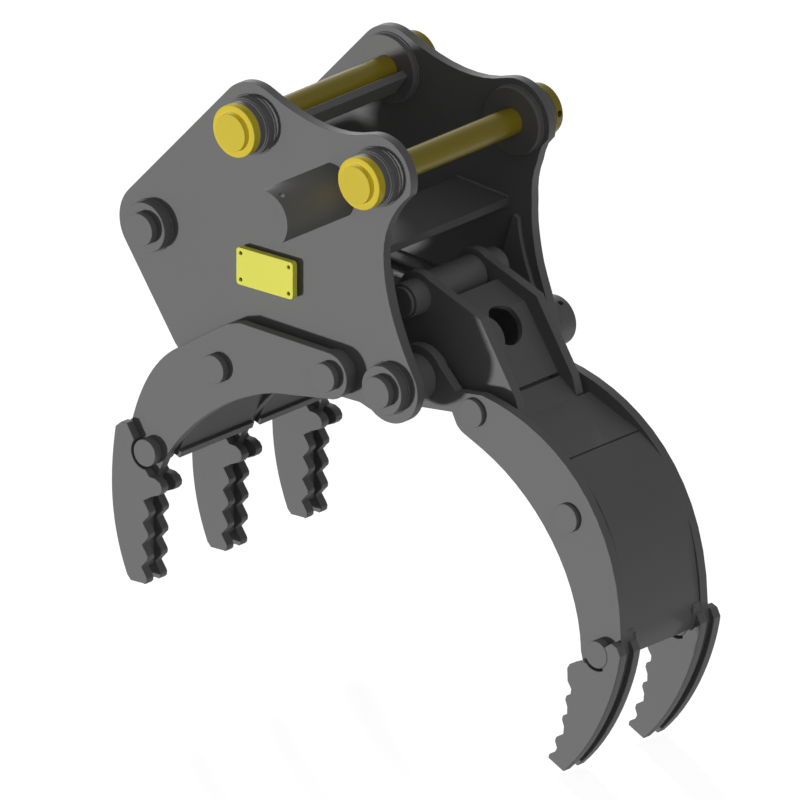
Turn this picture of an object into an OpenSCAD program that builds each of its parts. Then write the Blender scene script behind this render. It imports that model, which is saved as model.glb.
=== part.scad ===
// Hydraulic grab with a fixed rear jaw of three tines and a moving front jaw of two.
// X points from the rear jaw to the front jaw, Y across the grab, Z up.
// The origin is the middle of the stick pin, by which the grab hangs.

/* [Body] */
// Width over the outer faces of the two side plates
body_w = 516; // [500:2:560]
// Thickness of each side plate
plate_t = 25; // [20:1:30]
// Radius of the side plate round the stick pin and the link pin
lug_r = 100; // [92:1:108]
// Radius of the side plate's rear corner
corner_r = 100; // [90:1:105]
// Radius of the side plate round the claw pin
pivot_lug_r = 86; // [80:1:92]
// Height of the side plate's level bottom edge
bottom_z = -568; // [-575:1:-560]
// Thickness of the cross plates between the side plates
cross_t = 20; // [14:1:25]
// Height of the cross plate's top face under the stick pin, at its middle
shelf_z = -189; // [-196:1:-182]
// Distance that this cross plate falls towards the front
shelf_fall = 13; // [8:1:18]
// Distance of its front edge behind the stick pin
shelf_back = 19; // [14:1:24]
// Length of this cross plate from front to rear
shelf_len = 161; // [150:1:170]

/* [Mounting pins] */
// Distance of the link pin behind the stick pin
link_back = 377; // [360:1:395]
// Height of the link pin over the stick pin
link_up = 38; // [20:1:55]
// Diameter of both mounting pins
mount_pin_d = 65; // [55:1:75]
// Clearance round a pin in its bore, on the radius
pin_gap = 0.3; // [0.2:0.05:0.5]
// Radius of the boss ring welded on each lug
boss_r = 69; // [66:1:80]
// Thickness of that boss ring
boss_t = 25; // [18:1:30]
// Radius of the boss inside each lug
inner_boss_r = 82; // [76:1:88]
// Thickness of the boss inside each lug
inner_boss_t = 17; // [12:1:20]
// Radius of the collar and the pin flange
flange_r = 63; // [56:1:65]
// Thickness of the collar
collar_t = 21; // [15:1:26]
// Thickness of the pin flange
flange_t = 22; // [15:1:26]
// Radius of the end disc on the flange
end_disc_r = 46; // [40:1:50]
// Thickness of that end disc
end_disc_t = 14; // [8:1:18]
// Diameter of the bolt that holds the pin cap
cap_bolt_d = 18; // [14:1:22]
// Length of that bolt in the pin
cap_bolt_len = 38; // [30:1:50]
// Diameter of the bolt's head
cap_bolt_head_d = 30; // [26:1:36]
// Height of the bolt's head
cap_bolt_head_h = 10; // [7:1:13]
// Diameter of the hole in a flange's rim for the turning bar
rim_hole_d = 16; // [12:1:17]
// Depth of that hole
rim_hole_depth = 20; // [15:1:24]
// Angle of that hole over the level
rim_hole_a = 5; // [-20:1:20]

/* [Cylinder and its pins] */
// Distance of the cylinder's base pin behind the stick pin
base_back = 680; // [665:1:690]
// Depth of the base pin under the stick pin
base_down = 282; // [275:1:290]
// Diameter of the base pin
base_pin_d = 60; // [50:1:64]
// Radius of the ring welded round the base pin and the claw pin
ring_r = 60; // [54:1:64]
// Thickness of that ring
ring_t = 27; // [20:1:30]
// Radius of the head on each end of those pins
head_r = 39; // [36:1:44]
// Thickness of those heads
head_t = 20; // [14:1:24]
// Outer diameter of the cylinder barrel
barrel_d = 112; // [106:1:116]
// Inner diameter of the cylinder barrel
barrel_bore = 90; // [84:1:96]
// Diameter of the piston rod
rod_d = 60; // [50:1:64]
// Length of the barrel from the base pin to the gland's mouth
barrel_len = 480; // [470:1:500]
// Length of the gland screwed into the barrel's mouth
gland_len = 60; // [50:1:70]
// Length of the piston
piston_len = 70; // [60:1:80]
// Width of the cylinder's base eye
base_eye_w = 90; // [80:1:100]
// Room round the base pin inside the cylinder's open base eye, on the radius
base_eye_room = 22; // [20:0.5:24]

/* [Claw pivot and lever] */
// Distance of the claw pin in front of the stick pin
claw_fwd = 34; // [28:1:40]
// Depth of the claw pin under the stick pin
claw_down = 511; // [505:1:516]
// Diameter of the claw pin
claw_pin_d = 60; // [50:1:64]
// Radius of the claw's hub tube
hub_r = 60; // [54:1:62]
// Radius of the claw plates round the hub
hub_lobe_r = 75; // [70:1:80]
// Wall of the bushes in the hub and the rod eye
bush_t = 6; // [4:1:8]
// Distance of the lever pin behind the claw pin
lever_back = 39; // [34:1:46]
// Height of the lever pin over the claw pin
lever_up = 176; // [170:1:182]
// Diameter of the lever pin
lever_pin_d = 50; // [40:1:56]
// Radius of the lever plates round the lever pin
lever_lobe_r = 58; // [52:1:64]
// Half of the clear width between the lever plates
lever_in = 88; // [80:1:94]
// Thickness of the lever plates
lever_t = 25; // [18:1:28]
// Diameter of the hole in the web plate
web_hole_d = 100; // [80:1:104]
// Radius of the rod eye tube
rod_eye_r = 44; // [40:1:46]

/* [Front jaw] */
// Distance of each front arm from the middle
front_arm_y = 142.5; // [138:0.5:150]
// Thickness of every arm plate
arm_t = 25; // [20:1:28]
// Radius of the round cross bars of the front jaw
tube_r = 35; // [30:1:38]
// Length that a cross bar stands out of the arm
tube_out = 10; // [6:1:14]
// Thickness of the curved back panels
panel_t = 15; // [10:1:18]

/* [Rear jaw] */
// Clear width between the side plate and the outer rear arm
jaw_gap = 14.5; // [12.5:0.5:21.5]
// Diameter of the two pins that carry the rear jaw
jaw_pin_d = 50; // [44:1:56]
// Radius of their heads
jaw_head_r = 35; // [30:1:40]
// Thickness of the heads
jaw_head_t = 19; // [14:1:22]
// Radius of the spacer rings between side plate and arm
spacer_r = 55; // [48:1:58]
// Thickness of the web plate between the rear arms
web_t = 20; // [14:1:24]

/* [Wear tips] */
// Thickness of each tip cheek
cheek_t = 24; // [20:1:26]
// Number of serrations on a tip
serrations = 4; // [3:1:5]
// Depth of the serrations
serration_d = 20; // [14:1:22]
// Diameter of the pins through the tips
tip_pin_d = 36; // [30:1:40]
// Radius of the tip pins' heads, which lie level with the cheeks
tip_head_r = 33; // [30:1:36]
// Clearance of a head in the cheek's cut-out, on the radius
tip_head_gap = 0.4; // [0.3:0.1:1]
// Radius of the wide part of that cut-out
tip_notch_r = 40; // [38:1:44]
// Distance that the arm's nose stands back from the tip's edges
nose_back = 12; // [8:1:14]

/* [Name plate and hose guard] */
// Width of the name plate
badge_w = 170; // [150:1:180]
// Height of the name plate
badge_h = 91; // [80:1:100]
// Thickness of the name plate
badge_t = 16; // [12:1:20]
// Radius of the name plate's corners
badge_r = 9; // [5:1:14]
// Radius of the screw holes in the name plate
badge_hole_r = 5; // [4:0.5:7]
// Distance of the screw holes from the name plate's edges
badge_hole_in = 13; // [11:1:16]
// Depth at which the screws lie in their holes
badge_screw_sunk = 5; // [3:1:8]
// Thickness of the pad under the name plate
badge_pad_t = 5; // [3:1:8]
// Distance that the pad's edges lie inside the name plate's
badge_pad_in = 4; // [2:1:6]
// Outer radius of the hose guard
guard_r = 71; // [66:1:76]
// Wall of the hose guard
guard_wall = 10; // [8:1:14]
// Distance that the hose guard stands out
guard_len = 240; // [200:1:250]
// Radius of the hose ports' thread
port_r = 11; // [9:0.5:13]
// Depth of the hose ports' thread
port_depth = 24; // [18:1:28]

/* [Hidden] */
$fn = 64;

grey = [0.28, 0.285, 0.29];
dark = [0.16, 0.165, 0.17];
steel = [0.62, 0.62, 0.63];
bronze = [0.62, 0.48, 0.26];
yellow = [0.84, 0.75, 0.24];
plate_yellow = [0.96, 0.91, 0.38];

// Pin places as points in the XZ plane
stick = [0, 0];
link = [-link_back, link_up];
base = [-base_back, -base_down];
claw = [claw_fwd, -claw_down];
lever = claw + [-lever_back, lever_up];
jaw_front = [-117, -507];
jaw_rear = [-451, -567];
tube_a = [200, -561];
tube_b = [486, -750];
rear_tip = [-650, -818];
front_tip = [591, -1055];

body_out = body_w / 2;
body_in = body_out - plate_t;
doubler_t = 12;
touch = 0.3;
rear_arm_y = body_out + jaw_gap + arm_t / 2;
arm_out = rear_arm_y + arm_t / 2;
front_out = front_arm_y + arm_t / 2;
front_in = front_arm_y - arm_t / 2;
lever_boss_y = 163;

// A point at a distance and angle from another
function polar(c, r, a) = c + r * [cos(a), sin(a)];
// Points of an arc, both ends included
function arc(c, r, a0, a1, n = 12) = [for (i = [0:n]) polar(c, r, a0 + (a1 - a0) * i / n)];
// Points of a curve that leaves p towards c and reaches q from c, both ends left out
function bend(p, c, q, n = 8) =
    [for (i = [1:n - 1]) let (t = i / n) (1 - t) * (1 - t) * p + 2 * t * (1 - t) * c + t * t * q];
// A point of a curve with four control points
function sweep_at(c, t) =
    pow(1 - t, 3) * c[0] + 3 * t * pow(1 - t, 2) * c[1] + 3 * t * t * (1 - t) * c[2] + t * t * t * c[3];
// Points of that curve from t0 to t1, which run from 0 to 1
function sweep(c, n = 14, t0 = 0, t1 = 1) = [for (i = [0:n]) sweep_at(c, t0 + (t1 - t0) * i / n)];
// Angle of the line from p to q
function heading(p, q) = atan2(q[1] - p[1], q[0] - p[0]);
// Points moved by d to the left of their line of travel
function beside(pts, d) =
    [for (i = [0:len(pts) - 1])
        let (a = heading(pts[max(i - 1, 0)], pts[min(i + 1, len(pts) - 1)]) + 90) polar(pts[i], d, a)];
function backwards(pts) = [for (i = [len(pts) - 1:-1:0]) pts[i]];
// A strip of plate along a line of points, on its right-hand side
function strip(pts, t) = concat(pts, backwards(beside(pts, -t)));
// Serrations from p to q: each one rises square from the edge and slopes back
function saw(p, q, n, d) =
    let (a = heading(p, q), step = norm(q - p) / n)
    [for (i = [0:n - 1]) each [
        polar(polar(p, step * i, a), d, a - 90),
        polar(polar(p, step * (i + 0.45), a), d * 0.75, a - 90),
        polar(p, step * (i + 0.72), a)]];

// A flat plate of an XZ outline, its middle at y
module plate(y, t) {
    translate([0, y + t / 2, 0]) rotate([90, 0, 0]) linear_extrude(t) children();
}
// A round bar along Y from y0 to y1
module bar(p, r, y0, y1) {
    translate([p[0], max(y0, y1), p[1]]) rotate([90, 0, 0]) cylinder(r = r, h = abs(y1 - y0));
}
// A ring along Y
module ring(p, r, bore, y0, y1) {
    difference() {
        bar(p, r, y0, y1);
        bar(p, bore, min(y0, y1) - 1, max(y0, y1) + 1);
    }
}
// The same thing on both sides of the grab
module both_sides() {
    children();
    mirror([0, 1, 0]) children();
}

module side_plate(s) {
    back_a = heading(link, base) - 90;
    rear_low = [-612, bottom_z];
    rear_a = heading(base, rear_low) - 90 + 18;
    neck_low = [18, shelf_z - 26];
    outline = concat(
        arc(stick, lug_r, -15, 110, 20),
        bend(polar(stick, lug_r, 110), [-161, 48], polar(link, lug_r, 65)),
        arc(link, lug_r, 65, back_a + 360, 12),
        arc(base, corner_r, back_a + 360, rear_a + 360, 12),
        [rear_low + [0, 12], rear_low + [12, 0]],
        arc(jaw_rear, 68, 181, 359, 14),
        [[-54, bottom_z]],
        arc(claw, pivot_lug_r, 232, 380, 20),
        bend(polar(claw, pivot_lug_r, 20), [24, -330], neck_low),
        [neck_low],
        bend(neck_low, [8, -105], polar(stick, lug_r, -15))
    );
    color(grey) difference() {
        plate(s * (body_out - plate_t / 2), plate_t) polygon(outline);
        for (p = [stick, link]) bar(p, mount_pin_d / 2 + pin_gap, -body_out - 1, body_out + 1);
        bar(base, base_pin_d / 2 + pin_gap, -body_out - 1, body_out + 1);
        bar(claw, claw_pin_d / 2 + pin_gap, -body_out - 1, body_out + 1);
        for (p = [jaw_front, jaw_rear]) bar(p, jaw_pin_d / 2 + pin_gap, -body_out - 1, body_out + 1);
        if (s < 0) for (p = port_places) bar(p, port_r + 3, -body_out - 1, -body_in + 1);
    }
}

module pivot_doublers() {
    outline = concat(
        arc(claw, pivot_lug_r - 10, 160, 380, 20),
        bend(polar(claw, pivot_lug_r - 10, 20), [20, -330], [16, -236]),
        [[16, -236], [2, -228], [-30, -330]]
    );
    color(grey) both_sides() difference() {
        plate(body_in - doubler_t / 2, doubler_t) polygon(outline);
        bar(claw, claw_pin_d / 2 + pin_gap, 0, body_out);
    }
}

module shelf_plate() {
    front = [-shelf_back, shelf_z - shelf_fall / 2];
    rear = [-shelf_back - shelf_len, shelf_z + shelf_fall / 2];
    color(grey) plate(0, 2 * body_in) polygon(strip([rear, front], cross_t));
}

module link_cross_plate() {
    face = polar(link, mount_pin_d / 2 + cross_t + 2, -36.5);
    color(grey) plate(0, 2 * (body_in - inner_boss_t))
        polygon(strip([polar(face, -24, 53.5), polar(face, 38, 53.5)], -cross_t));
}

module back_plate() {
    a = heading(link, base);
    from = polar(polar(link, lug_r - 30, a - 90), 120, a);
    to = polar(polar(link, lug_r - 30, a - 90), 330, a);
    color(grey) plate(0, 2 * body_in) polygon(strip([to, from], cross_t));
}

flange_y = body_out + boss_t + collar_t;
cap_face = flange_y + flange_t + end_disc_t;

module pin_bosses(p) {
    bore = mount_pin_d / 2 + pin_gap;
    color(grey) both_sides() {
        ring(p, boss_r, bore, body_out, body_out + boss_t);
        ring(p, flange_r, bore, body_out + boss_t, flange_y);
        ring(p, inner_boss_r, bore, body_in - inner_boss_t, body_in);
    }
}

// The pin with its own head at the near end
module mounting_pin(p) {
    color(yellow) {
        difference() {
            bar(p, mount_pin_d / 2, -flange_y, flange_y);
            bar(p, cap_bolt_d / 2, flange_y - cap_bolt_len - 2, flange_y + 1);
        }
        bar(p, flange_r, -flange_y - flange_t, -flange_y);
        bar(p, end_disc_r, -flange_y - flange_t - end_disc_t, -flange_y - flange_t);
    }
}

// The cap that is bolted on the pin's far end
module mounting_pin_cap(p) {
    color(yellow) difference() {
        union() {
            bar(p, flange_r, flange_y, flange_y + flange_t);
            bar(p, end_disc_r, flange_y + flange_t, cap_face);
        }
        bar(p, cap_bolt_d / 2, flange_y - 1, cap_face + 1);
        translate([p[0], flange_y + flange_t / 2, p[1]]) rotate([0, 90 - rim_hole_a, 0])
            translate([0, 0, flange_r - rim_hole_depth]) cylinder(d = rim_hole_d, h = flange_r);
    }
}

module pin_cap_screws() {
    color(steel) for (p = [stick, link]) {
        bar(p, cap_bolt_d / 2 - touch, flange_y - cap_bolt_len, cap_face);
        bar(p, cap_bolt_head_d / 2, cap_face, cap_face + cap_bolt_head_h);
    }
}

module cross_pin(p, d) {
    face = body_out + ring_t;
    color(steel) {
        bar(p, d / 2, -face, face);
        both_sides() bar(p, head_r, face, face + head_t);
    }
}

module pin_rings(p, d) {
    color(grey) both_sides() ring(p, ring_r, d / 2 + pin_gap, body_out, body_out + ring_t);
}

module hub_spacers() {
    color(grey) both_sides()
        ring(claw, ring_r - 4, claw_pin_d / 2 + pin_gap, front_out + 1, body_in - doubler_t);
}

// The curve of the rear arms' outer edge, then of the edge inside the jaw
rear_outer = [[-585, -556], [-655, -605], [-690, -690], [-708, -755]];
rear_inner = [[-281, -589], [-420, -625], [-548, -727], [-612, -835]];

module rear_arm(y) {
    nose_in = [-652 - nose_back, -930];
    outline = concat(
        arc(jaw_front, 57, -90, 90, 14),
        [[-383, -441], [-420, -452], [-458, -474]],
        sweep(rear_outer),
        bend([-708, -755], [-745, -900], [-690 + nose_back / 2, -1105]),
        [[-690 + nose_back / 2, -1105], [-662, -1105], nose_in, [-636, -886]],
        backwards(sweep(rear_inner)),
        [[-191, -575]]
    );
    color(grey) difference() {
        plate(y, arm_t) polygon(outline);
        for (p = [jaw_front, jaw_rear]) bar(p, jaw_pin_d / 2 + pin_gap, y - arm_t, y + arm_t);
        bar(rear_tip, tip_pin_d / 2 + pin_gap, y - arm_t, y + arm_t);
    }
}

module jaw_pin(p) {
    color(steel) {
        bar(p, jaw_pin_d / 2, -arm_out, arm_out);
        both_sides() bar(p, jaw_head_r, arm_out, arm_out + jaw_head_t);
    }
}

module jaw_spacers() {
    color(grey) both_sides() for (p = [jaw_front, jaw_rear])
        ring(p, spacer_r, jaw_pin_d / 2 + pin_gap, body_out, rear_arm_y - arm_t / 2);
}

// The plate between two rear arms follows the middle of their width
module jaw_web(s) {
    line = [[-612, -818], [-587, -752], [-550, -695], [-508, -652]];
    width = rear_arm_y - arm_t;
    color(grey) plate(s * rear_arm_y / 2, width) polygon(strip(sweep(line, 10), web_t));
}

// The cheek's upper end is cut out round the pin's head
rear_cheek_outline = concat(
    [[-720, -757], [-703, -757]],
    arc(rear_tip, tip_notch_r, 141, 273, 12),
    [[-631, -878], [-610, -897], [-612, -906]],
    backwards(saw([-655, -1132], [-655, -925], serrations, serration_d)),
    [[-642, -1136], [-690, -1140]],
    backwards(sweep([[-738, -772], [-758, -900], [-755, -1010], [-703, -1128]]))
);

module rear_cheek(y) {
    color(grey) plate(y, cheek_t) polygon(rear_cheek_outline);
}

cheek_y = arm_t / 2 + cheek_t / 2;

module tip_pin(p, y) {
    color(steel) {
        bar(p, tip_pin_d / 2, y - arm_t / 2, y + arm_t / 2);
        for (s = [-1, 1]) bar(p, tip_head_r, y + s * arm_t / 2, y + s * (arm_t / 2 + cheek_t));
    }
}

module rear_tip_pins() {
    for (y = [-rear_arm_y, 0, rear_arm_y]) tip_pin(rear_tip, y);
}

badge = [-409, -356];
badge_back = -body_out - badge_pad_t;
badge_hole_xs = [badge_hole_in, badge_w - badge_hole_in];
badge_hole_zs = [badge_hole_in, badge_h - badge_hole_in];
badge_holes = [for (x = badge_hole_xs) for (z = badge_hole_zs) badge + [x, z]];

// The name plate's outline with its edges moved in by d
function badge_outline(d) =
    let (r = badge_r - d / 2, low = badge + [d + r, d + r], high = badge + [badge_w - d - r, badge_h - d - r])
    concat(
        arc(high, r, 0, 90, 6), arc([low[0], high[1]], r, 90, 180, 6),
        arc(low, r, 180, 270, 6), arc([high[0], low[1]], r, 270, 360, 6)
    );

module name_plate_pad() {
    color(dark) plate(badge_back + badge_pad_t / 2, badge_pad_t) polygon(badge_outline(badge_pad_in));
}

module name_plate() {
    color(plate_yellow) difference() {
        plate(badge_back - badge_t / 2, badge_t) polygon(badge_outline(0));
        for (p = badge_holes) bar(p, badge_hole_r, badge_back - badge_t - 1, badge_back + 1);
    }
}

module name_plate_screws() {
    color(steel) for (p = badge_holes)
        bar(p, badge_hole_r - touch, badge_back - badge_t + badge_screw_sunk, badge_back);
}

guard = [-140, -72];
guard_hole_in = 23;
guard_hole_a = 61;
guard_hole_d = 14;
port_places = [guard + [-4, 24], guard + [14, -22]];

module hose_guard() {
    outline = concat(
        arc(guard, guard_r, -38, 96, 22),
        backwards(arc(guard, guard_r - guard_wall, -38, 96, 22))
    );
    color(grey) difference() {
        plate(-body_out - guard_len / 2, guard_len) polygon(outline);
        translate([guard[0], -body_out - guard_len + guard_hole_in, guard[1]])
            rotate([0, 90 - guard_hole_a, 0]) cylinder(d = guard_hole_d, h = guard_r + 5);
    }
}

module hose_ports() {
    out = -body_out - 45;
    color(steel) for (p = port_places) difference() {
        union() {
            bar(p, port_r + 3 - touch, -body_out, -body_in - 20 + plate_t);
            bar(p, port_r + 8, out, -body_out);
        }
        bar(p, port_r, out - 1, out + port_depth);
    }
}

front_outer = [[227, -513], [440, -545], [640, -700], [645, -1005]];
front_inner = [[227, -644], [395, -722], [520, -890], [525, -1068]];
front_tip_curve = [[664, -1043], [652, -1125], [596, -1270], [492, -1365]];

module claw_arm(s) {
    inset = [-nose_back, nose_back / 3];
    outline = concat(
        arc(claw, hub_lobe_r, 30, 280, 24),
        [[136, -575]],
        arc(tube_a, 65, 220, 245, 4),
        sweep(front_inner),
        [[538, -1120], [502, -1305]],
        backwards(sweep([for (p = front_tip_curve) p + inset], 12, 0.04, 0.86)),
        backwards(sweep(front_outer)),
        [[147, -522]]
    );
    y = s * front_arm_y;
    color(grey) difference() {
        plate(y, arm_t) polygon(outline);
        bar(claw, hub_r, y - arm_t, y + arm_t);
        for (p = [tube_a, tube_b]) bar(p, tube_r, y - arm_t, y + arm_t);
        bar(front_tip, tip_pin_d / 2 + pin_gap, y - arm_t, y + arm_t);
    }
}

module claw_hub() {
    color(grey) ring(claw, hub_r, claw_pin_d / 2 + pin_gap + bush_t, -front_out, front_out);
}

module claw_bushes() {
    color(bronze) both_sides()
        ring(claw, claw_pin_d / 2 + pin_gap + bush_t, claw_pin_d / 2 + pin_gap, front_out - 90, front_out);
}

module lever_plate(s) {
    foot = [306, -560];
    outline = concat(
        arc(lever, lever_lobe_r, 52, 190, 16),
        bend(polar(lever, lever_lobe_r, 190), [-48, -420], polar(claw, hub_lobe_r, 170), 6),
        arc(claw, hub_lobe_r, 170, 285, 16),
        [[140, -590], [290, -590], foot, [292, -517]],
        [[185, -348]]
    );
    y = s * (lever_in + lever_t / 2);
    color(grey) difference() {
        union() {
            plate(y, lever_t) polygon(outline);
            bar(lever, 42, y, s * lever_boss_y);
        }
        bar(claw, hub_r, y - lever_t, y + lever_t);
        bar(lever, lever_pin_d / 2 + pin_gap, -lever_boss_y - 1, lever_boss_y + 1);
        bar(tube_a, tube_r, y - lever_t, y + lever_t);
    }
}

module lever_pin() {
    color(steel) {
        bar(lever, lever_pin_d / 2, -lever_boss_y, lever_boss_y);
        both_sides() bar(lever, 36, lever_boss_y, lever_boss_y + 10);
    }
}

module lever_web() {
    top = [66, -334];
    knee = [150, -368];
    foot = [250, -518];
    a = heading(knee, foot);
    color(grey) difference() {
        plate(0, 2 * lever_in) polygon(strip([top, knee, foot], panel_t));
        translate([knee[0], 0, knee[1]]) rotate([0, -a, 0]) translate([34, -3, 0]) difference() {
            cylinder(d = web_hole_d, h = 4 * panel_t, center = true);
            translate([10, -68, 0]) cylinder(d = web_hole_d, h = 5 * panel_t, center = true);
        }
    }
}

module upper_panel() {
    top = [254, -526];
    knee = [306, -563];
    foot = [456, -622];
    wide_from = polar(knee, 3, heading(knee, foot));
    color(grey) {
        plate(0, 2 * lever_in) polygon(strip([top, knee, foot], panel_t));
        plate(0, 2 * front_in) polygon(strip([wide_from, foot], panel_t));
    }
}

// The panel ends in a narrower tongue between the tips, with this gap at each cheek
tongue_gap = 4;

module lower_panel() {
    low = [642, -1008];
    tongue = [low, [647, -1032], [636, -1062]];
    color(grey) {
        plate(0, 2 * front_in) polygon(strip(sweep([[460, -624], [590, -690], [632, -830], low]), panel_t));
        plate(0, 2 * (front_in - cheek_t - tongue_gap)) polygon(strip(tongue, panel_t));
    }
}

module cross_tube(p) {
    color(steel) bar(p, tube_r, -front_out - tube_out, front_out + tube_out);
}

front_cheek_outline = concat(
    sweep(front_tip_curve),
    [[445, -1332]],
    saw([458, -1318], [508, -1116], serrations, -serration_d),
    [[501, -1106], [508, -1096], [545, -1081]],
    arc(front_tip, tip_notch_r, 222, 300, 8),
    arc(front_tip, tip_head_r + tip_head_gap, 300, 405, 12),
    [[637, -1016], [654, -1023]]
);

module front_cheek(y) {
    color(grey) plate(y, cheek_t) polygon(front_cheek_outline);
}

module front_tip_pins() {
    for (s = [-1, 1]) tip_pin(front_tip, s * front_arm_y);
}

// The cylinder is drawn along +X from its base pin and laid on the line to the lever pin
reach = norm(lever - base);
module on_cylinder_line() {
    translate([base[0], 0, base[1]]) rotate([0, -heading(base, lever), 0]) children();
}
module along(r, x0, x1) {
    translate([x0, 0, 0]) rotate([0, 90, 0]) cylinder(r = r, h = x1 - x0);
}

eye_bore = base_pin_d / 2 + base_eye_room;
eye_r = eye_bore + 14;
piston_x = reach - 300;

module cylinder_barrel() {
    color(dark) on_cylinder_line() difference() {
        union() {
            along(barrel_d / 2, eye_bore + 6, barrel_len);
            rotate([90, 0, 0]) cylinder(r = eye_r, h = base_eye_w, center = true);
        }
        along(barrel_bore / 2, eye_bore + 20, barrel_len + 1);
        rotate([90, 0, 0]) cylinder(r = eye_bore, h = 2 * barrel_d, center = true);
    }
}

module cylinder_gland() {
    color(steel) on_cylinder_line() difference() {
        along(barrel_bore / 2, barrel_len - gland_len, barrel_len);
        along(rod_d / 2 + pin_gap, barrel_len - gland_len - 1, barrel_len + 1);
    }
}

module piston_rod() {
    color(steel) on_cylinder_line() difference() {
        union() {
            along(rod_d / 2, eye_bore + 60, reach);
            translate([reach, 0, 0]) rotate([90, 0, 0])
                cylinder(r = rod_eye_r, h = 2 * (lever_in - 2), center = true);
        }
        translate([reach, 0, 0]) rotate([90, 0, 0])
            cylinder(r = lever_pin_d / 2 + pin_gap, h = 3 * lever_in, center = true);
    }
}

module piston() {
    color(bronze) on_cylinder_line() difference() {
        along(barrel_bore / 2 - pin_gap, eye_bore + 60, eye_bore + 60 + piston_len);
        along(rod_d / 2, eye_bore + 50, eye_bore + 80 + piston_len);
    }
}

side_plate(-1);  // side_plate_near
side_plate(1);  // side_plate_far
pivot_doublers();
shelf_plate();
link_cross_plate();
back_plate();
pin_bosses(stick);  // stick_pin_bosses
pin_bosses(link);  // link_pin_bosses
mounting_pin(stick);  // stick_pin
mounting_pin(link);  // link_pin
mounting_pin_cap(stick);  // stick_pin_cap
mounting_pin_cap(link);  // link_pin_cap
pin_cap_screws();
cross_pin(base, base_pin_d);  // base_pin
pin_rings(base, base_pin_d);  // base_pin_rings
cross_pin(claw, claw_pin_d);  // claw_pin
pin_rings(claw, claw_pin_d);  // claw_pin_rings
hub_spacers();
rear_arm(-rear_arm_y);  // rear_arm_near
rear_arm(0);  // rear_arm_middle
rear_arm(rear_arm_y);  // rear_arm_far
jaw_pin(jaw_front);  // jaw_front_pin
jaw_pin(jaw_rear);  // jaw_rear_pin
jaw_spacers();
jaw_web(-1);  // jaw_web_near
jaw_web(1);  // jaw_web_far
rear_cheek(-rear_arm_y - cheek_y);  // rear_tip_near_outer
rear_cheek(-rear_arm_y + cheek_y);  // rear_tip_near_inner
rear_cheek(-cheek_y);  // rear_tip_middle_left
rear_cheek(cheek_y);  // rear_tip_middle_right
rear_cheek(rear_arm_y - cheek_y);  // rear_tip_far_inner
rear_cheek(rear_arm_y + cheek_y);  // rear_tip_far_outer
rear_tip_pins();
name_plate();
name_plate_pad();
name_plate_screws();
hose_guard();
hose_ports();
claw_arm(-1);  // claw_arm_near
claw_arm(1);  // claw_arm_far
claw_hub();
claw_bushes();
lever_plate(-1);  // lever_near
lever_plate(1);  // lever_far
lever_pin();
lever_web();
upper_panel();
lower_panel();
cross_tube(tube_a);  // upper_cross_tube
cross_tube(tube_b);  // middle_cross_tube
front_cheek(-front_arm_y - cheek_y);  // front_tip_near_outer
front_cheek(-front_arm_y + cheek_y);  // front_tip_near_inner
front_cheek(front_arm_y - cheek_y);  // front_tip_far_inner
front_cheek(front_arm_y + cheek_y);  // front_tip_far_outer
front_tip_pins();
piston_rod();
piston();
cylinder_barrel();
cylinder_gland();
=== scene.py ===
import math
import bmesh
import bpy
from mathutils import Matrix, Vector


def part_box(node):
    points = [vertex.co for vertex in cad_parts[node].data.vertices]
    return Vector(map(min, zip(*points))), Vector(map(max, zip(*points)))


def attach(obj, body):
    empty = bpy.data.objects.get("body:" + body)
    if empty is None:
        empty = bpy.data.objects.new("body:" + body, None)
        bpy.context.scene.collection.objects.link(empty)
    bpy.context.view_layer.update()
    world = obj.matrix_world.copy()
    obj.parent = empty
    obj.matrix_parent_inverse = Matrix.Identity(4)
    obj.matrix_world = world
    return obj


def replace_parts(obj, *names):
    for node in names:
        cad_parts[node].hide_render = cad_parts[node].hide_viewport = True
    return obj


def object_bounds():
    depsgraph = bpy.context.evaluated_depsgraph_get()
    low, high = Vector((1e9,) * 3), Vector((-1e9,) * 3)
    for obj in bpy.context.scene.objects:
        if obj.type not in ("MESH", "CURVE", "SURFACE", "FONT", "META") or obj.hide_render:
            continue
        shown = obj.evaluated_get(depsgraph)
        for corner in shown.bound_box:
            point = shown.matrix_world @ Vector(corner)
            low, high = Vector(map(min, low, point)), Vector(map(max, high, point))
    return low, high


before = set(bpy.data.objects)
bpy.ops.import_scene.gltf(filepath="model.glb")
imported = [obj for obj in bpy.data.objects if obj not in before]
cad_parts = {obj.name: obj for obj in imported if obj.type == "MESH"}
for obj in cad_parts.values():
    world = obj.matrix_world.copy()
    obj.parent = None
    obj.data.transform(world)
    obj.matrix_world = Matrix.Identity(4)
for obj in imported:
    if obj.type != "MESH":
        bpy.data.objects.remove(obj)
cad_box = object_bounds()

# Studio. The grab hangs over a plain pale floor and is seen without perspective, as in the photograph.
# The photograph's shadows rise to the right, so its key light stands low in front and to the left. A
# second one, low on the far right, lights what faces down and to the right. Both shine up past the
# floor, which casts no shadow. A broad lamp high on the right fills the faces that look forward, and
# one high behind the grab lights its upper edges.

view_azimuth = math.radians(40.3)
view_height = math.radians(20.4)
metres_across = 1.84
camera_distance = 6.0
aim_right = -0.1159
aim_up = -0.5833
view_right = Vector((math.cos(view_azimuth), math.sin(view_azimuth), 0.0))
view_back = Vector((
    math.sin(view_azimuth) * math.cos(view_height),
    -math.cos(view_azimuth) * math.cos(view_height),
    math.sin(view_height),
))
view_up = view_back.cross(view_right)
aim = view_right * aim_right + view_up * aim_up

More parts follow.
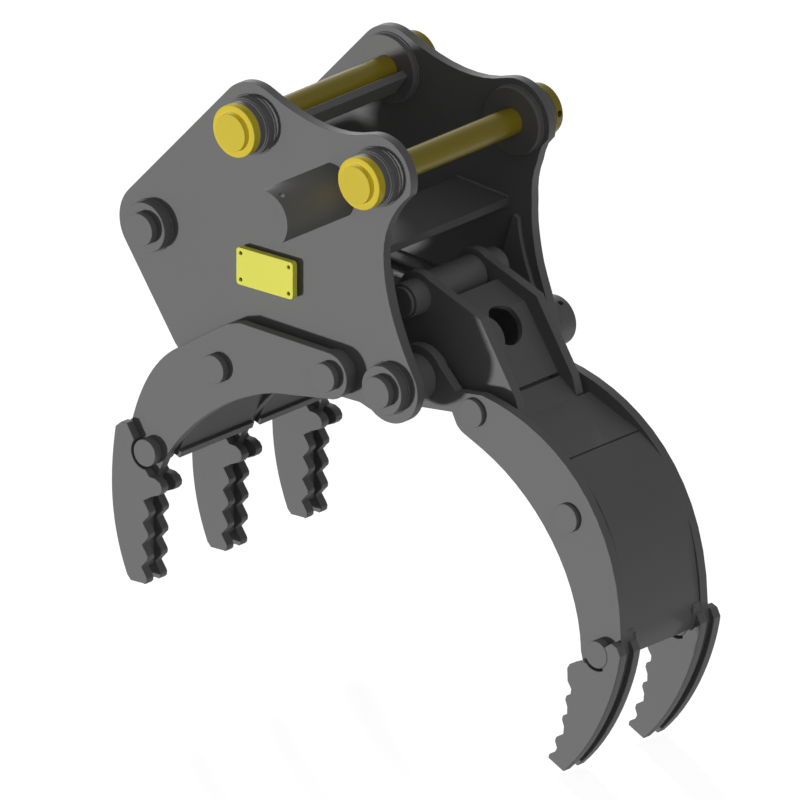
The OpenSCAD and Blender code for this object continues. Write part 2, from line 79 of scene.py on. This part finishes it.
camera = bpy.data.objects.new("camera", bpy.data.cameras.new("camera"))
camera.data.type = "ORTHO"
camera.data.ortho_scale = metres_across
camera.location = aim + view_back * camera_distance
camera.rotation_mode = "QUATERNION"
camera.rotation_quaternion = Matrix((view_right, view_up, view_back)).transposed().to_quaternion()
bpy.context.scene.collection.objects.link(camera)
bpy.context.scene.camera = camera
bpy.context.scene.view_settings.view_transform = "Standard"


def lamp(name, towards, strength, softness):
    """A far lamp that shines along a direction"""
    light = bpy.data.lights.new(name, "SUN")
    light.energy = strength
    light.angle = math.radians(softness)
    holder = bpy.data.objects.new(name, light)
    holder.rotation_mode = "QUATERNION"
    holder.rotation_quaternion = Vector(towards).to_track_quat("-Z", "Y")
    bpy.context.scene.collection.objects.link(holder)


lamp("key_lamp", (0.72, 1.0, 0.39), 2.2, 5)
lamp("low_right_lamp", (-0.25, -0.85, 0.47), 0.4, 8)
lamp("right_lamp", (-0.80, 0.10, -0.45), 0.40, 40)
lamp("back_lamp", (0.72, -0.56, -0.42), 1.3, 8)


def seen_ray(tree):
    """A value that is 1 for rays from the camera, straight, by a reflection or through glass"""
    path = tree.nodes.new("ShaderNodeLightPath")
    straight_or_mirrored = tree.nodes.new("ShaderNodeMath")
    straight_or_mirrored.operation = "MAXIMUM"
    tree.links.new(path.outputs["Is Camera Ray"], straight_or_mirrored.inputs[0])
    tree.links.new(path.outputs["Is Glossy Ray"], straight_or_mirrored.inputs[1])
    any_of_them = tree.nodes.new("ShaderNodeMath")
    any_of_them.operation = "MAXIMUM"
    tree.links.new(straight_or_mirrored.outputs[0], any_of_them.inputs[0])
    tree.links.new(path.outputs["Is Transmission Ray"], any_of_them.inputs[1])
    return any_of_them.outputs[0]


dim_air = (0.105, 0.105, 0.108, 1.0)
white = (1.0, 1.0, 1.0, 1.0)
world = bpy.data.worlds.new("studio_air")
bpy.context.scene.world = world
world.use_nodes = True
sky = world.node_tree.nodes
sky["Background"].inputs["Color"].default_value = dim_air
white_air = sky.new("ShaderNodeBackground")
white_air.inputs["Color"].default_value = white
air = sky.new("ShaderNodeMixShader")
world.node_tree.links.new(seen_ray(world.node_tree), air.inputs[0])
world.node_tree.links.new(sky["Background"].outputs[0], air.inputs[1])
world.node_tree.links.new(white_air.outputs[0], air.inputs[2])
world.node_tree.links.new(air.outputs[0], sky["World Output"].inputs["Surface"])

floor_gap = 0.004
floor_z = cad_box[0].z - floor_gap
floor_reach = 14.0
floor_colour = (0.34, 0.34, 0.34, 1.0)
floor_shine_through = 0.9
floor_mesh = bpy.data.meshes.new("floor")
floor_mesh.from_pydata(
    [(x * floor_reach, y * floor_reach, floor_z) for x, y in ((-1, -1), (1, -1), (1, 1), (-1, 1))],
    [], [(0, 1, 2, 3)],
)
floor = bpy.data.objects.new("floor", floor_mesh)
floor.visible_shadow = False
bpy.context.scene.collection.objects.link(floor)
floor_paint = bpy.data.materials.new("pale_floor")
floor_paint.use_nodes = True
floor_tree = floor_paint.node_tree
floor_shader = floor_tree.nodes["Principled BSDF"]
floor_shader.inputs["Base Color"].default_value = floor_colour
floor_shader.inputs["Roughness"].default_value = 0.9
floor_shader.inputs["Emission Color"].default_value = white
floor_glow = floor_tree.nodes.new("ShaderNodeMath")
floor_glow.operation = "MULTIPLY"
floor_glow.inputs[1].default_value = floor_shine_through
floor_tree.links.new(seen_ray(floor_tree), floor_glow.inputs[0])
floor_tree.links.new(floor_glow.outputs[0], floor_shader.inputs["Emission Strength"])
floor_mesh.materials.append(floor_paint)

# Body paint. One dark grey coat is sprayed over the welded and blasted steel. It is matt, a little
# uneven, with a fine orange-peel skin, and it has rubbed a little paler along the sharp edges.


def node_group(name, inputs, outputs):
    """A shader node group with named sockets"""
    tree = bpy.data.node_groups.new(name, "ShaderNodeTree")
    for label, kind, value in inputs:
        tree.interface.new_socket(label, in_out="INPUT", socket_type=kind).default_value = value
    for label, kind in outputs:
        tree.interface.new_socket(label, in_out="OUTPUT", socket_type=kind)
    return tree, tree.nodes.new("NodeGroupInput"), tree.nodes.new("NodeGroupOutput")


def worn_edge_group():
    """A mask that is 1 where a sharp edge lies nearer than the reach, broken up by noise"""
    tree, given, made = node_group(
        "Worn edge",
        [("Reach", "NodeSocketFloat", 0.003), ("Amount", "NodeSocketFloat", 0.5)],
        [("Mask", "NodeSocketFloat")],
    )
    new, link = tree.nodes.new, tree.links.new
    bevel = new("ShaderNodeBevel")
    bevel.samples = 4
    link(given.outputs["Reach"], bevel.inputs["Radius"])
    surface = new("ShaderNodeNewGeometry")
    facing = new("ShaderNodeVectorMath")
    facing.operation = "DOT_PRODUCT"
    link(bevel.outputs["Normal"], facing.inputs[0])
    link(surface.outputs["Normal"], facing.inputs[1])
    edge = new("ShaderNodeMapRange")
    edge.inputs["From Min"].default_value = 0.995
    edge.inputs["From Max"].default_value = 0.86
    link(facing.outputs["Value"], edge.inputs["Value"])
    place = new("ShaderNodeTexCoord")
    noise = new("ShaderNodeTexNoise")
    noise.inputs["Scale"].default_value = 38.0
    noise.inputs["Detail"].default_value = 5.0
    link(place.outputs["Object"], noise.inputs["Vector"])
    patchy = new("ShaderNodeMapRange")
    patchy.inputs["From Min"].default_value = 0.34
    patchy.inputs["From Max"].default_value = 0.62
    link(noise.outputs["Fac"], patchy.inputs["Value"])
    both = new("ShaderNodeMath")
    both.operation = "MULTIPLY"
    link(edge.outputs["Result"], both.inputs[0])
    link(patchy.outputs["Result"], both.inputs[1])
    scaled = new("ShaderNodeMath")
    scaled.operation = "MULTIPLY"
    link(both.outputs[0], scaled.inputs[0])
    link(given.outputs["Amount"], scaled.inputs[1])
    link(scaled.outputs[0], made.inputs["Mask"])
    return tree


def sprayed_coat_group():
    """Uneven colour and gloss in broad clouds, and the fine skin of sprayed paint"""
    tree, given, made = node_group(
        "Sprayed coat",
        [("Colour", "NodeSocketColor", (0.5, 0.5, 0.5, 1.0)), ("Roughness", "NodeSocketFloat", 0.5),
         ("Clouds", "NodeSocketFloat", 0.1), ("Skin Scale", "NodeSocketFloat", 420.0)],
        [("Colour", "NodeSocketColor"), ("Roughness", "NodeSocketFloat"), ("Height", "NodeSocketFloat")],
    )
    new, link = tree.nodes.new, tree.links.new
    place = new("ShaderNodeTexCoord")
    broad = new("ShaderNodeTexNoise")
    broad.inputs["Scale"].default_value = 4.5
    broad.inputs["Detail"].default_value = 6.0
    broad.inputs["Roughness"].default_value = 0.62
    link(place.outputs["Object"], broad.inputs["Vector"])
    centred = new("ShaderNodeMath")
    centred.operation = "SUBTRACT"
    centred.inputs[1].default_value = 0.5
    link(broad.outputs["Fac"], centred.inputs[0])
    swing = new("ShaderNodeMath")
    swing.operation = "MULTIPLY_ADD"
    swing.inputs[2].default_value = 1.0
    link(centred.outputs[0], swing.inputs[0])
    link(given.outputs["Clouds"], swing.inputs[1])
    tint = new("ShaderNodeVectorMath")
    tint.operation = "SCALE"
    link(given.outputs["Colour"], tint.inputs[0])
    link(swing.outputs[0], tint.inputs["Scale"])
    link(tint.outputs["Vector"], made.inputs["Colour"])
    gloss = new("ShaderNodeMath")
    gloss.operation = "MULTIPLY"
    link(given.outputs["Roughness"], gloss.inputs[0])
    link(swing.outputs[0], gloss.inputs[1])
    link(gloss.outputs[0], made.inputs["Roughness"])
    skin = new("ShaderNodeTexNoise")
    skin.inputs["Detail"].default_value = 2.0
    link(place.outputs["Object"], skin.inputs["Vector"])
    link(given.outputs["Skin Scale"], skin.inputs["Scale"])
    link(skin.outputs["Fac"], made.inputs["Height"])
    return tree


worn_edge = worn_edge_group()
sprayed_coat = sprayed_coat_group()


def srgb(r, g, b):
    """A colour as a screen shows it, 11 to 255, turned into the renderer's own"""
    return tuple(((value / 255 + 0.055) / 1.055) ** 2.4 for value in (r, g, b)) + (1.0,)


def painted(name, colour, edge_colour, roughness=0.55, clouds=0.14, wear=0.3, shine=0.16, metallic=0.0):
    """A coat of paint that has rubbed off along its edges"""
    material = bpy.data.materials.new(name)
    material.use_nodes = True
    tree = material.node_tree
    new, link = tree.nodes.new, tree.links.new
    shader = tree.nodes["Principled BSDF"]
    coat = new("ShaderNodeGroup")
    coat.node_tree = sprayed_coat
    coat.inputs["Colour"].default_value = colour
    coat.inputs["Roughness"].default_value = roughness
    coat.inputs["Clouds"].default_value = clouds
    edge = new("ShaderNodeGroup")
    edge.node_tree = worn_edge
    edge.inputs["Amount"].default_value = wear
    mix = new("ShaderNodeMix")
    mix.data_type = "RGBA"
    link(edge.outputs["Mask"], mix.inputs["Factor"])
    link(coat.outputs["Colour"], mix.inputs["A"])
    mix.inputs["B"].default_value = edge_colour
    link(mix.outputs["Result"], shader.inputs["Base Color"])
    link(coat.outputs["Roughness"], shader.inputs["Roughness"])
    shader.inputs["Metallic"].default_value = metallic
    shader.inputs["Specular IOR Level"].default_value = shine
    bump = new("ShaderNodeBump")
    bump.inputs["Strength"].default_value = 0.05
    bump.inputs["Distance"].default_value = 0.001
    link(coat.outputs["Height"], bump.inputs["Height"])
    link(bump.outputs["Normal"], shader.inputs["Normal"])
    return material


body_paint = painted("body_paint", srgb(115, 115, 115), srgb(140, 140, 140))
# A darker coat of the same paint, as painted shade, for plates that lie deep between the side plates and
# tines.
shaded_body_paint = painted("shaded_body_paint", srgb(90, 90, 90), srgb(112, 112, 112), clouds=0.3)

# Side plates and what is welded across between them. They are flame-cut steel plates, ground round
# along their edges. The far plate's front edge stands further forward than the near one's, so that
# it is left standing as a flange over the lever.


ground_edge = 0.0018
sharp_from = math.radians(32)


def rounded_piece(form, name, body, material, edge=ground_edge):
    """Makes a piece of a form whose sharp edges are ground round, with its flat faces kept flat"""
    for face in form.faces:
        face.smooth = True
    rough = bpy.data.meshes.new(name)
    form.to_mesh(rough)
    form.free()
    piece = bpy.data.objects.new(name, rough)
    bpy.context.scene.collection.objects.link(piece)
    bevel = piece.modifiers.new("rounded edges", "BEVEL")
    bevel.width = edge
    bevel.segments = 2
    bevel.limit_method = "ANGLE"
    bevel.angle_limit = sharp_from
    flat = piece.modifiers.new("flat faces stay flat", "WEIGHTED_NORMAL")
    flat.mode = "FACE_AREA"
    shapes = bpy.context.evaluated_depsgraph_get()
    done = bpy.data.meshes.new_from_object(
        piece.evaluated_get(shapes), preserve_all_data_layers=True, depsgraph=shapes)
    piece.modifiers.clear()
    piece.data = done
    done.materials.clear()
    done.materials.append(material)
    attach(piece, body)
    return piece


def form_of(node):
    """An editable copy of a node's shape, with each flat face in one piece"""
    form = bmesh.new()
    form.from_mesh(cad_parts[node].data)
    bmesh.ops.remove_doubles(form, verts=form.verts[:], dist=1e-6)
    bmesh.ops.dissolve_limit(form, angle_limit=0.01, verts=form.verts[:], edges=form.edges[:])
    return form


# The photograph shows no shadow of these on the plate beside them.
no_small_shadow = ["stick_pin_bosses", "link_pin_bosses", "hose_guard"]


def rounded(nodes, body, material, edge=ground_edge):
    """Copies nodes with their sharp edges ground round, and lets each copy stand for its node"""
    for node in nodes:
        piece = rounded_piece(form_of(node), node + "_finished", body, material, edge)
        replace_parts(piece, node)
        piece.visible_shadow = node not in no_small_shadow


rounded(["side_plate_near", "pivot_doublers", "link_cross_plate", "back_plate"],
        "frame", body_paint)
# The shelf is painted darker, as painted shade.
rounded(["shelf_plate"], "frame", shaded_body_paint)


def middle(node):
    """The middle of a node in X and Z"""
    low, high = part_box(node)
    return ((low.x + high.x) / 2, (low.z + high.z) / 2)


# Heights above the claw pin, each with how far forward the far plate's front edge stands there.
claw_axis = middle("claw_pin")
far_edge_forward = [
    (0.029, 0.0), (0.110, 0.015), (0.170, 0.019), (0.221, 0.0245), (0.325, 0.031), (0.423, 0.019),
    (0.471, 0.0),
]
front_edge_from = claw_axis[0] - 0.022
far_plate = form_of("side_plate_far")
for vert in far_plate.verts:
    height = vert.co.z - claw_axis[1]
    for (low, low_move), (high, high_move) in zip(far_edge_forward, far_edge_forward[1:]):
        if vert.co.x > front_edge_from and low <= height < high:
            vert.co.x += low_move + (high_move - low_move) * (height - low) / (high - low)
            break
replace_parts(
    rounded_piece(far_plate, "side_plate_far_finished", "frame", body_paint), "side_plate_far")

# Mounting bosses. Rings and collars turned from bar are welded on both faces of each lug, and the
# yellow pins run in them.
rounded(["stick_pin_bosses", "link_pin_bosses"], "frame", body_paint)

# Mounting pins. Each is a turned bar with a flanged head at the near end, which is painted yellow. The
# shaft and the flanged cap that closes the far end are painted a darker yellow as painted shade, and they
# shine. The pins cast no shadow, for the same reason as the bosses.
pin_yellow = painted("pin_yellow", srgb(240, 217, 64), srgb(250, 235, 120), roughness=0.5, wear=0.3,
                     shine=0.06)
# A darker yellow as painted shade, for the pin shafts and the far caps.
shaded_pin_yellow = painted("shaded_pin_yellow", srgb(158, 142, 42), srgb(205, 188, 70), roughness=0.25, wear=0.4,
                       shine=0.12)
rounded(["stick_pin_cap", "link_pin_cap"], "frame", shaded_pin_yellow)
shaft_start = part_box("side_plate_near")[0].y
for pin in ("stick_pin", "link_pin"):
    turned = rounded_piece(form_of(pin), pin + "_finished", "frame", pin_yellow)
    turned.visible_shadow = False
    # The shaft faces take the darker yellow of painted shade.
    turned.data.materials.append(shaded_pin_yellow)
    for face in turned.data.polygons:
        if face.center.y > shaft_start:
            face.material_index = 1
    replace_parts(turned, pin)

bright_steel = painted("bright_steel", srgb(150, 150, 152), srgb(190, 190, 190), roughness=0.3,
                       metallic=0.9, shine=0.5)


def prism(outline, y_low, y_high):
    """A form with an outline in X and Z that runs straight from y_low to y_high"""
    form = bmesh.new()
    low = [form.verts.new((x, y_low, z)) for x, z in outline]
    high = [form.verts.new((x, y_high, z)) for x, z in outline]
    form.faces.new(low)
    form.faces.new(list(reversed(high)))
    for i in range(len(outline)):
        j = (i + 1) % len(outline)
        form.faces.new((low[j], low[i], high[i], high[j]))
    bmesh.ops.recalc_face_normals(form, faces=form.faces[:])
    return form


def round_points(centre, radius, count, turn=0.0):
    """Points in X and Z, evenly round a centre"""
    return [
        (centre[0] + radius * math.cos(turn + math.tau * i / count),
         centre[1] + radius * math.sin(turn + math.tau * i / count)) for i in range(count)]


washer_radius = 0.0165
washer_thickness = 0.0025
hexagon_radius = 0.0148
hexagon_turn = 0.3
cap_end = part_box("stick_pin_cap")[1].y
washer_end = cap_end + washer_thickness
bolt_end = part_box("pin_cap_screws")[1].y
for pin in ("stick", "link"):
    centre = middle(pin + "_pin_cap")
    washer = prism(round_points(centre, washer_radius, 40), cap_end, washer_end)
    rounded_piece(washer, pin + "_bolt_washer", "frame", bright_steel, edge=0.0005)
    hexagon = prism(round_points(centre, hexagon_radius, 6, hexagon_turn), washer_end, bolt_end)
    head = rounded_piece(hexagon, pin + "_bolt_head", "frame", bright_steel, edge=0.0012)
    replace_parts(head, "pin_cap_screws")

# Cross pins of the frame, with the rings that are welded round them on the side plates, the spacers
# of the hub and of the rear jaw. All are turned steel under the body paint.
rounded(["base_pin", "claw_pin", "base_pin_rings", "claw_pin_rings", "hub_spacers", "jaw_front_pin",
         "jaw_rear_pin", "jaw_spacers"], "frame", body_paint)

# Lock collar of the claw pin. It closes the pin's far end like a cup and has a hole in its rim for
# a turning bar.
collar_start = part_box("claw_pin_rings")[1].y
collar_length = 0.054
collar_radius = 0.060
collar_edge = 0.003
bar_hole_radius = 0.007
bar_hole_angle = math.radians(61)
bar_hole_along = 0.032
drill_length = 0.04
collar_form = prism(round_points(claw_axis, collar_radius, 72), collar_start, collar_start + collar_length)
collar = rounded_piece(collar_form, "claw_pin_lock_collar", "frame", body_paint, collar_edge)
drill_form = bmesh.new()
bmesh.ops.create_cone(drill_form, cap_ends=True, segments=24, radius1=bar_hole_radius,
                      radius2=bar_hole_radius, depth=drill_length)
drill_mesh = bpy.data.meshes.new("drill")
drill_form.to_mesh(drill_mesh)
drill_form.free()
drill = bpy.data.objects.new("drill", drill_mesh)
drill_way = Vector((math.cos(bar_hole_angle), 0.0, math.sin(bar_hole_angle)))
rim_point = Vector((claw_axis[0], collar_start + bar_hole_along, claw_axis[1])) + drill_way * collar_radius
drill_turn = drill_way.to_track_quat("Z", "Y").to_matrix().to_4x4()
drill.matrix_world = Matrix.Translation(rim_point) @ drill_turn
bpy.context.scene.collection.objects.link(drill)
cut = collar.modifiers.new("turning bar hole", "BOOLEAN")
cut.object = drill
shapes = bpy.context.evaluated_depsgraph_get()
collar.data = bpy.data.meshes.new_from_object(
    collar.evaluated_get(shapes), preserve_all_data_layers=True, depsgraph=shapes)
collar.modifiers.clear()
bpy.data.objects.remove(drill)

# Rear jaw. Three tines of plate hang on two pins through the side plates, and bent web plates with a
# flat bar along their lower edges join them. The webs are painted darker, as painted shade.
rounded(["rear_arm_near", "rear_arm_middle", "rear_arm_far"], "frame", body_paint)
rounded(["jaw_web_near", "jaw_web_far"], "frame", shaded_body_paint)

rear_tip = middle("rear_tip_pins")
bar_height = 0.017
bar_thickness = 0.008
bar_corner = Vector(rear_tip) + Vector((0.0567, -0.0071))
bar_up = Vector((0.354, 0.935))
bar_out = Vector((0.935, -0.354))
bar_corners = ((0.0, 0.0), (0.0, bar_thickness), (bar_height, bar_thickness), (bar_height, 0.0))
bar_outline = [tuple(bar_corner + bar_up * up + bar_out * out) for up, out in bar_corners]
for side in ("near", "far"):
    low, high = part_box("jaw_web_" + side)
    bar = prism(bar_outline, low.y, high.y)
    rounded_piece(bar, "web_edge_bar_" + side, "frame", body_paint, edge=0.001)

# Wear tips. Each tine carries two cheeks cut from wear-resistant plate, serrated on the side that
# grips, and a pin whose heads lie level with them. The paint is thinner there and rubs off sooner.
tip_paint = painted("tip_paint", srgb(115, 115, 115), srgb(150, 150, 150), wear=0.5)


def arc(centre, radius, start, end, steps):
    """Points of an arc in X and Z, angles in degrees, both ends included"""
    angles = [math.radians(start + (end - start) * i / steps) for i in range(steps + 1)]
    return [(centre[0] + radius * math.cos(a), centre[1] + radius * math.sin(a)) for a in angles]


def curve(points, steps=14):
    """Points of a smooth curve with four control points"""
    made = []
    for i in range(steps + 1):
        t = i / steps
        weights = ((1 - t) ** 3, 3 * t * (1 - t) ** 2, 3 * t * t * (1 - t), t ** 3)
        made.append(tuple(sum(w * p[k] for w, p in zip(weights, points)) for k in (0, 1)))
    return made


def beside(axis, points):
    """Points given from an axis, as places in the frame"""
    return [(axis[0] + x, axis[1] + z) for x, z in points]


def cheeks(nodes, outline, body):
    """Wear cheeks of one outline, each as thick as the node that it stands for"""
    for node in nodes:
        low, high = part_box(node)
        cheek = prism(outline, low.y, high.y)
        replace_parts(rounded_piece(cheek, node + "_finished", body, tip_paint), node)


notch_radius = 0.040
head_radius = 0.0334

# The rear cheeks' outline runs down the side that grips and back up the smooth one.
rear_tooth_count = 4
rear_tooth_pitch = 0.0547
rear_tooth_drift = 0.002
rear_tooth = [(-0.003, -0.117), (0.011, -0.137), (0.014, -0.143), (0.013, -0.152), (0.007, -0.158)]
rear_teeth = []
for tooth in range(rear_tooth_count):
    rear_teeth += [(x - rear_tooth_drift * tooth, z - rear_tooth_pitch * tooth) for x, z in rear_tooth]
rear_cheek = (
    beside(rear_tip, [(-0.070, 0.061), (-0.053, 0.061)])
    + arc(rear_tip, notch_radius, 141, 273, 14)
    + beside(rear_tip, [(0.014, -0.054), (0.032, -0.055), (0.046, -0.062), (0.053, -0.073),
                        (0.052, -0.084), (0.044, -0.093), (0.018, -0.104)])
    + beside(rear_tip, rear_teeth)
    + beside(rear_tip, [(-0.005, -0.321), (-0.042, -0.322)])
    + curve(beside(rear_tip, [(-0.053, -0.31), (-0.105, -0.192), (-0.108, -0.082), (-0.088, 0.046)]))
)
cheeks(["rear_tip_near_outer", "rear_tip_near_inner", "rear_tip_middle_left", "rear_tip_middle_right",
        "rear_tip_far_inner", "rear_tip_far_outer"], rear_cheek, "frame")
rounded(["rear_tip_pins"], "frame", body_paint)

# The front cheeks' outline runs down the smooth side and back up the steps that grip.
front_tip = middle("front_tip_pins")
# Each step has its nose near x and z, with a hollow of some depth above it. The lowest ends at its nose.
front_steps = []
for x, z, depth in ((-0.093, -0.128, 0.0145), (-0.103, -0.179, 0.0145), (-0.124, -0.237, 0.024),
                    (-0.144, -0.283, 0.019)):
    front_steps += [(x + depth, z + 0.8 * depth), (x + 0.002, z + 0.006), (x - 0.001, z - 0.004),
                    (x + 0.005, z - 0.020)]
front_steps.pop()
front_cheek = (
    curve(beside(front_tip, [(0.073, 0.012), (0.061, -0.07), (0.005, -0.215), (-0.099, -0.31)]))
    + beside(front_tip, reversed(front_steps))
    + beside(front_tip, [(-0.076, -0.102), (-0.087, -0.085), (-0.088, -0.053), (-0.081, -0.042),
                         (-0.046, -0.026)])
    + arc(front_tip, notch_radius, 222, 300, 8)
    + arc(front_tip, head_radius, 300, 405, 12)
    + beside(front_tip, [(0.046, 0.039), (0.063, 0.032)])
)
cheeks(["front_tip_near_outer", "front_tip_near_inner", "front_tip_far_inner", "front_tip_far_outer"],
       front_cheek, "claw")
rounded(["front_tip_pins"], "claw", body_paint)

# Stop blocks over the inner cheeks. They are short steel blocks, welded between arm and lower panel.
stop_outline = beside(front_tip, [(0.037, 0.059), (0.052, 0.057), (0.056, 0.0335), (0.043, 0.0385)])
tongue_half_width = 0.1035
arm_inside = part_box("claw_arm_far")[0].y
stop_sides = (("near", -arm_inside, -tongue_half_width), ("far", tongue_half_width, arm_inside))
for side, low_y, high_y in stop_sides:
    stop = prism(stop_outline, low_y, high_y)
    rounded_piece(stop, "tip_stop_" + side, "claw", body_paint, edge=0.001)

# Name plate. A thick yellow cast plate with a bare face is held off the side plate by a dark pad, with
# four screws sunk in its corners.
plate_yellow = painted("plate_yellow", srgb(255, 252, 92), srgb(255, 253, 150), roughness=0.45, wear=0.2,
                       shine=0.08)
dark_paint = painted("dark_paint", srgb(62, 62, 64), srgb(90, 90, 90))
rounded(["name_plate"], "frame", plate_yellow, edge=0.0015)
rounded(["name_plate_pad"], "frame", dark_paint, edge=0.0006)
rounded(["name_plate_screws"], "frame", dark_paint, edge=0.0008)

# Hose guard. A piece of rolled plate stands out over the two hydraulic ports, which are turned
# unions with a thread inside.
rounded(["hose_guard"], "frame", body_paint)
rounded(["hose_ports"], "frame", bright_steel, edge=0.0006)

# Front jaw. Two arms, a hub, lever plates and bent panels are welded into one box that turns on the
# claw pin.
rounded(["claw_arm_near", "claw_arm_far", "claw_hub", "lever_near", "lever_far", "lever_pin", "upper_panel",
         "lower_panel", "upper_cross_tube", "middle_cross_tube"], "claw", body_paint)
rounded(["lever_web"], "claw", body_paint, edge=0.0008)
bronze = painted("bronze", srgb(160, 125, 70), srgb(200, 170, 110), roughness=0.35, metallic=0.9, shine=0.5)
rounded(["claw_bushes"], "claw", bronze, edge=0.0006)

# Weld seams. Rings, bosses and cross plates are welded on all round. Each seam is a thin rope of metal
# in the corner, with the ripples that the pool leaves, under the same paint.


ripple_depth = 0.14
ripple_turn = 1.9
seam_step = 0.0025


def seams(name, lines, body, across, thickness=0.0045):
    """One piece of welded seams; each line is (points, closed), and across is square to all of them"""
    form = bmesh.new()
    sides = 8
    for points, closed in lines:
        count = len(points)
        rings = []
        for i, point in enumerate(points):
            before = points[i - 1] if closed or i else point
            after = points[(i + 1) % count] if closed or i < count - 1 else point
            out = (after - before).normalized().cross(across)
            radius = thickness * (1.0 + ripple_depth * math.sin(i * ripple_turn))
            rings.append([
                form.verts.new(point + (across * math.cos(math.tau * k / sides)
                                        + out * math.sin(math.tau * k / sides)) * radius)
                for k in range(sides)])
        for i in range(count if closed else count - 1):
            here, there = rings[i], rings[(i + 1) % count]
            for k in range(sides):
                form.faces.new((here[k], there[k], there[(k + 1) % sides], here[(k + 1) % sides]))
        if not closed:
            form.faces.new(rings[0])
            form.faces.new(list(reversed(rings[-1])))
    bmesh.ops.recalc_face_normals(form, faces=form.faces[:])
    for face in form.faces:
        face.smooth = True
    mesh = bpy.data.meshes.new(name)
    form.to_mesh(mesh)
    form.free()
    piece = bpy.data.objects.new(name, mesh)
    bpy.context.scene.collection.objects.link(piece)
    mesh.materials.append(body_paint)
    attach(piece, body)


def round_seam(centre, radius, y):
    """A closed seam round a centre at y"""
    count = round(math.tau * radius / seam_step)
    return [Vector((x, y, z)) for x, z in round_points(centre, radius, count)], True


def straight_seam(start, end):
    """A seam from start to end"""
    count = max(2, round((end - start).length / seam_step))
    return [start.lerp(end, i / count) for i in range(count + 1)], False


plate_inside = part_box("side_plate_far")[0].y
plate_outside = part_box("side_plate_far")[1].y
collar_seat = plate_outside + 0.025
ring_radius = 0.060
boss_radius = 0.069
boss_collar_radius = 0.063
inner_boss_radius = 0.082
along_y = Vector((0.0, 1.0, 0.0))
ring_seams = []
for node, radius in (("stick_pin_bosses", boss_radius), ("link_pin_bosses", boss_radius),
                     ("base_pin_rings", ring_radius), ("claw_pin_rings", ring_radius)):
    ring_seams += [round_seam(middle(node), radius, side * plate_outside) for side in (-1, 1)]
for node in ("stick_pin_bosses", "link_pin_bosses"):
    ring_seams += [round_seam(middle(node), inner_boss_radius, side * plate_inside) for side in (-1, 1)]
    ring_seams += [round_seam(middle(node), boss_collar_radius, side * collar_seat) for side in (-1, 1)]
seams("ring_seams", ring_seams, "frame", along_y, thickness=0.0035)

shelf_low, shelf_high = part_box("shelf_plate")
shelf_fall = 0.013
seam_end_gap = 0.004
cross_seams = []
for side in (-1, 1):
    back_end = Vector((shelf_low.x + seam_end_gap, side * plate_inside, shelf_high.z))
    front_end = Vector((shelf_high.x - seam_end_gap, side * plate_inside, shelf_high.z - shelf_fall))
    cross_seams.append(straight_seam(back_end, front_end))
seams("shelf_seams", cross_seams, "frame", along_y)

tongue = beside(front_tip, [(0.052, 0.047), (0.055, 0.023), (0.044, -0.007)])
tongue_seams = []
for side in (-1, 1):
    points = [Vector((x, side * tongue_half_width, z)) for x, z in tongue]
    tongue_seams += [straight_seam(points[0], points[1]), straight_seam(points[1], points[2])]
seams("tongue_seams", tongue_seams, "claw", along_y, thickness=0.005)

# Cylinder. The barrel and its base eye are painted dark, and the gland is screwed into its mouth. The
# rod is ground and hard chromed, and its eye is painted as the body is.
rounded(["piston"], "rod", bronze)
rounded(["cylinder_barrel"], "barrel", dark_paint)
rounded(["cylinder_gland"], "barrel", bright_steel, edge=0.0006)
rod = rounded_piece(form_of("piston_rod"), "piston_rod_finished", "rod", bright_steel)
rod.data.materials.append(body_paint)
eye_axis = Vector(middle("lever_pin"))
eye_radius = 0.046
for face in rod.data.polygons:
    if (Vector((face.center.x, face.center.z)) - eye_axis).length < eye_radius:
        face.material_index = 1
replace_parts(rod, "piston_rod")
